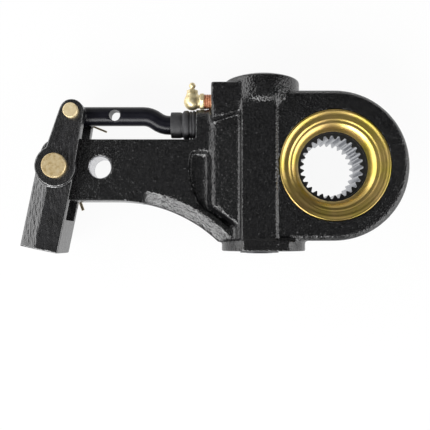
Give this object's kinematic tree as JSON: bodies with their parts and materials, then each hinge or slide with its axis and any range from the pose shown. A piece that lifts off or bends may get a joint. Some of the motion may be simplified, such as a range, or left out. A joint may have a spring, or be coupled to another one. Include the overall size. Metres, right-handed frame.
{
  "type": "brake slack adjuster",
  "caption": "Automatic brake slack adjuster: cast arm with worm wheel and splined bore, worm driven through a link rod, rack and clutch, and a forged clevis on pins",
  "frame": {"origin": "Centre of the camshaft spline, on the mid plane of head and arm", "axes": "+Z along the camshaft axis out of the front face with the dished ring, arm along -X, +Y towards the link rod"},
  "size_m": [0.231, 0.1093, 0.0462],
  "materials": {
    "cast_black": "black semi-gloss paint over a cast surface",
    "zinc_gold": "yellow zinc plate on steel",
    "gear_steel": "machined bare steel",
    "spring_steel": "dark spring steel",
    "bearing_bronze": "bearing bronze",
    "rubber_black": "matt black rubber",
    "cap_steel": "black oxide steel",
    "rod_black": "gloss black coating on steel",
    "fitting_brass": "yellow plated fitting",
    "forged_steel": "dark phosphate over forged steel",
    "cotter_steel": "dull plated wire"
  },
  "bodies": {
    "housing": {"housing": "cast_black", "front_seal_ring": "zinc_gold", "wheel_retainer": "gear_steel", "front_lip_seal": "rubber_black", "rear_lip_seal": "rubber_black", "lower_thrust_washer": "bearing_bronze", "upper_thrust_washer": "bearing_bronze", "bottom_cap": "cap_steel", "cap_seal": "rubber_black", "cap_snap_ring": "spring_steel", "boot": "rubber_black", "boot_clamp": "spring_steel", "grease_elbow": "fitting_brass", "grease_nipple": "fitting_brass"},
    "worm_wheel": {"worm_wheel": "gear_steel"},
    "worm": {"worm_shaft": "gear_steel", "clutch_hub": "gear_steel"},
    "pinion": {"clutch_pinion": "gear_steel", "clutch_spring": "spring_steel"},
    "rack": {"rack": "gear_steel", "rack_pin": "gear_steel"},
    "link": {"link_rod": "rod_black"},
    "clevis": {"clevis": "forged_steel", "large_clevis_pin": "zinc_gold", "small_clevis_pin": "zinc_gold", "large_cotter": "cotter_steel", "small_cotter": "cotter_steel"}
  },
  "joints": [
    {"name": "clevis_swing", "type": "hinge", "parent": "housing", "child": "clevis", "pos_m": [-0.1651, 0, 0], "axis": [0, 0, 1], "range_deg": [-10, 10]},
    {"name": "rack_slide", "type": "slide", "parent": "housing", "child": "rack", "axis": [1, 0, 0], "range_m": [-0.006, 0.006]},
    {"name": "link_tilt", "type": "hinge", "parent": "rack", "child": "link", "pos_m": [-0.068, 0.027, 0], "axis": [0, 0, 1], "range_deg": [-1.5, 1.5]},
    {"name": "pinion_turn", "type": "hinge", "parent": "housing", "child": "pinion", "pos_m": [-0.043, 0.027, 0], "axis": [0, 1, 0], "range_deg": [-58, 58]},
    {"name": "wheel_spin", "type": "hinge", "parent": "housing", "child": "worm_wheel", "pos_m": [0, 0, 0], "axis": [0, 0, 1], "continuous": true},
    {"name": "worm_spin", "type": "hinge", "parent": "housing", "child": "worm", "pos_m": [-0.043, 0, 0], "axis": [0, 1, 0], "continuous": true}
  ],
  "couplings": [
    {"joint": "rack_slide", "follows": "clevis_swing", "m_per_rad": -0.033006},
    {"joint": "link_tilt", "follows": "clevis_swing", "ratio": -0.11226},
    {"joint": "pinion_turn", "follows": "clevis_swing", "ratio": 5.501},
    {"joint": "worm_spin", "follows": "wheel_spin", "ratio": 22}
  ]
}
